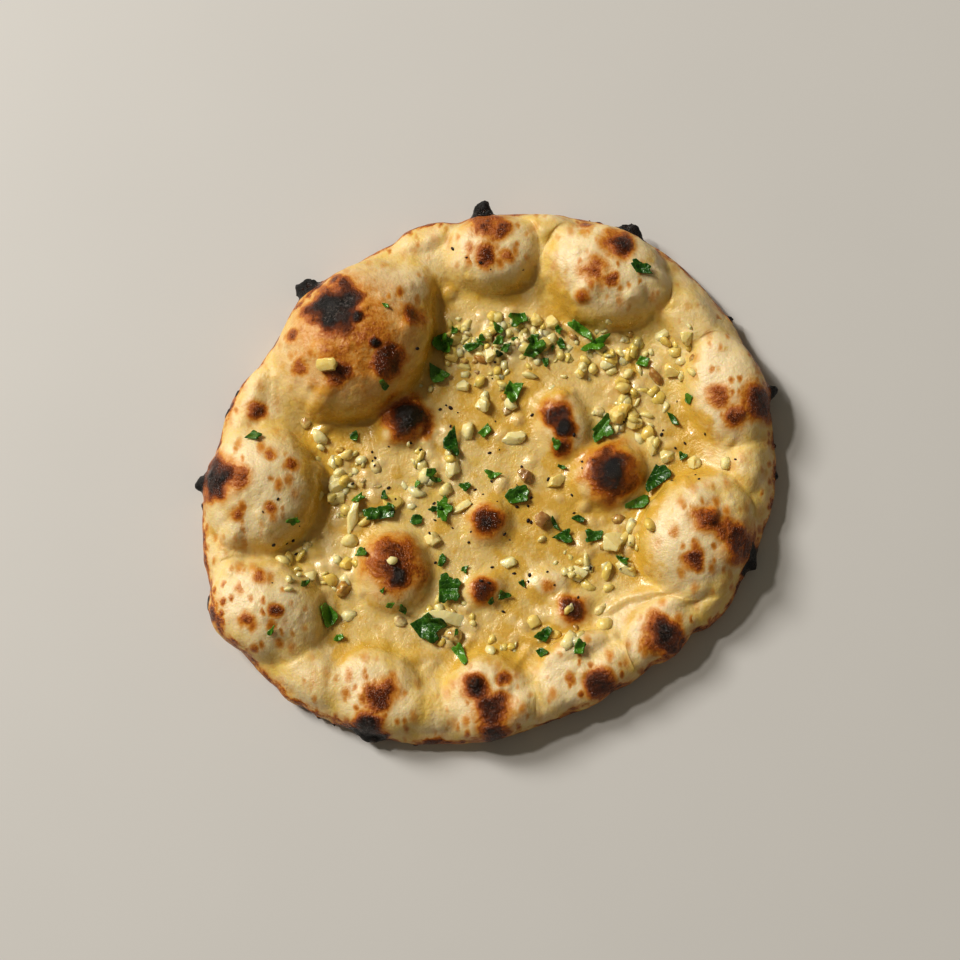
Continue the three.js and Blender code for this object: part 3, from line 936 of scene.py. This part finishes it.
def garlic_crumbs(surface, garlic):
    chance = random.Random(SEEDS["crumbs"])
    for x, y, long, wide in crumb_places(chance, garlic):
        shape = morsel(chance, cuts=3, roundness=2 if long > garlic.chunky else 1)
        eased(shape, shape.verts, 0.2)
        fitted(shape, long, wide, long * chance.uniform(0.4, 0.66))
        sink = long * chance.uniform(0.08, 0.34)
        seated(shape, surface, x, y, chance.uniform(0, math.tau), sink, chance)
        yield shape, chance.random(), chance.random() ** 4 * 0.9


def leaf_blank(chance, long, wide, steps):
    """A flat scrap of leaf with rounded lobes, torn off straight on one or two sides."""
    shape = bmesh.new()
    bmesh.ops.create_grid(shape, x_segments=steps, y_segments=steps, size=1)
    lobes, turn = chance.choice((3, 4, 5)), chance.uniform(0, math.tau)
    depth = chance.uniform(0.1, 0.28)
    for vertex in shape.verts:
        reach = max(abs(vertex.co.x), abs(vertex.co.y))
        angle = math.atan2(vertex.co.y, vertex.co.x)
        tooth = 1 + depth * math.cos(lobes * angle + turn)
        tooth += 0.05 * math.cos(3 * lobes * angle - turn)
        vertex.co = Vector((math.cos(angle), math.sin(angle), 0)) * reach * tooth
    bmesh.ops.scale(shape, vec=(long / 2, wide / 2, 1), verts=shape.verts)
    for _ in range(chance.choice((1, 2, 2))):
        angle = chance.uniform(0, math.tau)
        direction = Vector((math.cos(angle), math.sin(angle), 0))
        reach = math.hypot(long * direction.x, wide * direction.y) / 2
        cut(shape, direction * reach * chance.uniform(0.3, 0.75), direction, close=False)
    return shape


def laid_leaf(shape, chance, surface, x, y, heading, leaf, long):
    """Drapes a scrap over what is under it, creased and curling up at its tips."""
    placed = Matrix.Translation((x, y, 0)) @ Matrix.Rotation(heading, 4, "Z")
    crease = chance.uniform(0, math.tau)
    folds = [(crease, chance.uniform(0.3, 0.9)), (crease + 1.2, chance.uniform(0, 0.4))]
    offset = Vector((chance.uniform(0, 99), chance.uniform(0, 99), 0))
    curls = []
    for vertex in shape.verts:
        curl = sum(steep * abs(vertex.co.x * math.cos(turn) + vertex.co.y * math.sin(turn))
                   for turn, steep in folds)
        ripple = noise.noise(vertex.co / (1.9 * MM) + offset) * 0.5 + 0.5
        reach = vertex.co.length / (long / 2)
        curl += leaf.lift * (0.4 * ripple + 0.25 * reach ** 2)
        curls.append(leaf.lift * 1.6 * math.tanh(curl / (leaf.lift * 1.6)))
    bmesh.ops.transform(shape, matrix=placed, verts=shape.verts)
    for vertex in shape.verts:
        vertex.co.z = surface.under(vertex.co.x, vertex.co.y)[0].z
    for _ in range(3):
        bmesh.ops.smooth_vert(shape, verts=shape.verts, factor=0.5, use_axis_z=True)
    for vertex, curl in zip(shape.verts, curls):
        vertex.co.z += curl + 0.1 * MM
    thickened = ("SOLIDIFY", {"thickness": leaf.thickness, "offset": 0})
    return modified(shape, thickened)


def leaf_piece(number, node, surface, leaf, material):
    """One large scrap of leaf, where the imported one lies."""
    chance = random.Random(SEEDS["leaf"] + number)
    middle, heading, long, wide, _ = lie_of(node)
    long = max(long, LEAST_LEAF[0] * MM) * TORN_AWAY
    wide = max(wide, LEAST_LEAF[1] * MM) * 1.2
    shape = leaf_blank(chance, long, wide, steps=20)
    shape = laid_leaf(shape, chance, surface, middle.x, middle.y, heading, leaf, long)
    piece = finished(f"coriander_leaf_{number:02d}", shape, material, [node])
    set_attribute(piece, "tint", chance.random())


def scrap_places(chance):
    """Where each scrap of leaf lies, with its length and width."""
    for x, y, long, wide in LEAF_PLACED:
        yield x * MM, y * MM, long * MM, wide * MM
    for x, y in strewn(LEAF_STREWN, chance):
        long = chance.uniform(*SCRAP_LENGTHS) * MM
        yield x, y, long, long * chance.uniform(0.3, 0.8)


def leaf_scraps(surface, leaf):
    chance = random.Random(SEEDS["scraps"])
    for x, y, long, wide in scrap_places(chance):
        shape = leaf_blank(chance, long * TORN_AWAY, wide * TORN_AWAY, steps=7)
        shape = laid_leaf(shape, chance, surface, x, y, chance.uniform(0, math.tau), leaf, long)
        yield shape, chance.random(), 0


def pepper_specks(surface, pepper):
    chance = random.Random(SEEDS["pepper"])
    for x, y in strewn(PEPPER_STREWN, chance):
        shape = bmesh.new()
        bmesh.ops.create_icosphere(shape, subdivisions=1, radius=0.5)
        size = pepper.speck * chance.uniform(0.5, 1.35)
        fitted(shape, size * 1.3, size * chance.uniform(0.6, 1), size * 0.6)
        seated(shape, surface, x, y, chance.uniform(0, math.tau), size * 0.15, chance)
        yield shape, chance.random(), 0


# ---- The stage ---------------------------------------------------------------------------


def add_lamp(name, power, size, place, tint):
    """A square soft lamp that shines at the bread."""
    data = bpy.data.lights.new(name, "AREA")
    data.energy, data.size, data.color = power, size, tint
    lamp = bpy.data.objects.new(name, data)
    lamp.location = place
    lamp.rotation_euler = (-Vector(place)).to_track_quat("-Z", "Y").to_euler()
    bpy.context.scene.collection.objects.link(lamp)


def add_camera(stage):
    """A camera that looks steeply down from the near side."""
    data = bpy.data.cameras.new("camera")
    data.lens, data.sensor_width = stage.lens, 36
    camera = bpy.data.objects.new("camera", data)
    back = Vector((0, -math.cos(stage.elevation), math.sin(stage.elevation)))
    camera.location = AIM + back * stage.distance
    camera.rotation_euler = (-back).to_track_quat("-Z", "Y").to_euler()
    bpy.context.scene.collection.objects.link(camera)
    bpy.context.scene.camera = camera


def add_floor(stage):
    shape = bmesh.new()
    bmesh.ops.create_grid(shape, x_segments=1, y_segments=1, size=2)
    mesh = bpy.data.meshes.new("floor")
    shape.to_mesh(mesh)
    shape.free()
    mesh.materials.append(once("pale_floor", floor_material, stage))
    floor = bpy.data.objects.new("floor", mesh)
    bpy.context.scene.collection.objects.link(floor)
    floor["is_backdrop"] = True


# ---- Operators ---------------------------------------------------------------------------


def names_starting(*starts):
    return [piece.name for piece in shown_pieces() if piece.name.startswith(starts)]


def packed_names(start):
    return sorted(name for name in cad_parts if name.startswith(start))


class NAAN_OT_bread(bpy.types.Operator):
    """Make the blistered, scorched bread"""

    bl_idname = "naan.bread"
    bl_label = "Bread"

    def execute(self, context):
        make_bread(context.scene.naan_crust)
        return {"FINISHED"}


class NAAN_OT_garlic(bpy.types.Operator):
    """Lay the large garlic morsels on the bread"""

    bl_idname = "naan.garlic"
    bl_label = "Garlic"

    def execute(self, context):
        garlic = context.scene.naan_garlic
        material = once("chopped_garlic", garlic_material, garlic)
        surface = Surface(names_starting("baked_naan"))
        for number, node in enumerate(packed_names("garlic_"), start=1):
            garlic_piece(number, node, surface, garlic, material)
        return {"FINISHED"}


class NAAN_OT_garlic_crumbs(bpy.types.Operator):
    """Strew the small garlic crumbs between the morsels"""

    bl_idname = "naan.garlic_crumbs"
    bl_label = "Garlic Crumbs"

    def execute(self, context):
        garlic = context.scene.naan_garlic
        material = once("chopped_garlic", garlic_material, garlic)
        surface = Surface(names_starting("baked_naan", "garlic_morsel"))
        heap("garlic_crumbs", material, garlic_crumbs(surface, garlic))
        return {"FINISHED"}


class NAAN_OT_leaves(bpy.types.Operator):
    """Lay the torn coriander leaves on the bread and the garlic"""

    bl_idname = "naan.leaves"
    bl_label = "Coriander Leaves"

    def execute(self, context):
        leaf = context.scene.naan_leaf
        material = once("coriander_leaf", leaf_material, leaf)
        surface = Surface(names_starting("baked_naan", "garlic_"))
        for number, node in enumerate(packed_names("coriander_"), start=1):
            leaf_piece(number, node, surface, leaf, material)
        return {"FINISHED"}


class NAAN_OT_leaf_scraps(bpy.types.Operator):
    """Strew the small scraps of coriander"""

    bl_idname = "naan.leaf_scraps"
    bl_label = "Coriander Scraps"

    def execute(self, context):
        leaf = context.scene.naan_leaf
        material = once("coriander_leaf", leaf_material, leaf)
        surface = Surface(names_starting("baked_naan", "garlic_"))
        heap("coriander_scraps", material, leaf_scraps(surface, leaf))
        return {"FINISHED"}


class NAAN_OT_pepper(bpy.types.Operator):
    """Strew the coarse pepper"""

    bl_idname = "naan.pepper"
    bl_label = "Pepper"

    def execute(self, context):
        pepper = context.scene.naan_pepper
        material = once("cracked_pepper", pepper_material, pepper)
        surface = Surface(names_starting("baked_naan", "garlic_"))
        heap("pepper_specks", material, pepper_specks(surface, pepper))
        return {"FINISHED"}


class NAAN_OT_stage(bpy.types.Operator):
    """Set up the floor, the lamps and the camera"""

    bl_idname = "naan.stage"
    bl_label = "Stage"

    def execute(self, context):
        stage = context.scene.naan_stage
        add_floor(stage)
        add_camera(stage)
        for name, (power, size, place, tint) in LAMPS.items():
            add_lamp(name, getattr(stage, power), size, place, tint)
        world = bpy.data.worlds.new("studio")
        world.use_nodes = True
        light = world.node_tree.nodes["Background"].inputs
        light["Color"].default_value, light["Strength"].default_value = SKY, stage.fill
        context.scene.world = world
        context.scene.view_settings.view_transform = "Standard"
        context.scene.view_settings.look = "Medium High Contrast"
        return {"FINISHED"}


class NAAN_PT_sidebar(bpy.types.Panel):
    """Lists the steps that make the naan"""

    bl_idname = "NAAN_PT_sidebar"
    bl_label = "Garlic Naan"
    bl_space_type = "VIEW_3D"
    bl_region_type = "UI"
    bl_category = "Naan"

    def draw(self, context):
        for step in STEPS:
            self.layout.operator(step.bl_idname)
        for name in SETTINGS:
            group = getattr(context.scene, name)
            box = self.layout.box()
            for key in group.__annotations__:
                box.prop(group, key)


SETTINGS = {
    "naan_crust": NaanCrustSettings,
    "naan_garlic": NaanGarlicSettings,
    "naan_leaf": NaanLeafSettings,
    "naan_pepper": NaanPepperSettings,
    "naan_stage": NaanStageSettings,
}
STEPS = [NAAN_OT_bread, NAAN_OT_garlic, NAAN_OT_garlic_crumbs, NAAN_OT_leaves,
         NAAN_OT_leaf_scraps, NAAN_OT_pepper, NAAN_OT_stage]


def register():
    for group in (*SETTINGS.values(), *STEPS, NAAN_PT_sidebar):
        bpy.utils.register_class(group)
    for name, group in SETTINGS.items():
        setattr(bpy.types.Scene, name, bpy.props.PointerProperty(type=group))


def unregister():
    for name in SETTINGS:
        delattr(bpy.types.Scene, name)
    for group in (NAAN_PT_sidebar, *reversed(STEPS), *reversed(SETTINGS.values())):
        bpy.utils.unregister_class(group)


def main():
    register()
    for step in STEPS:
        group, name = step.bl_idname.split(".")
        getattr(getattr(bpy.ops, group), name)()


if __name__ == "__main__":
    main()
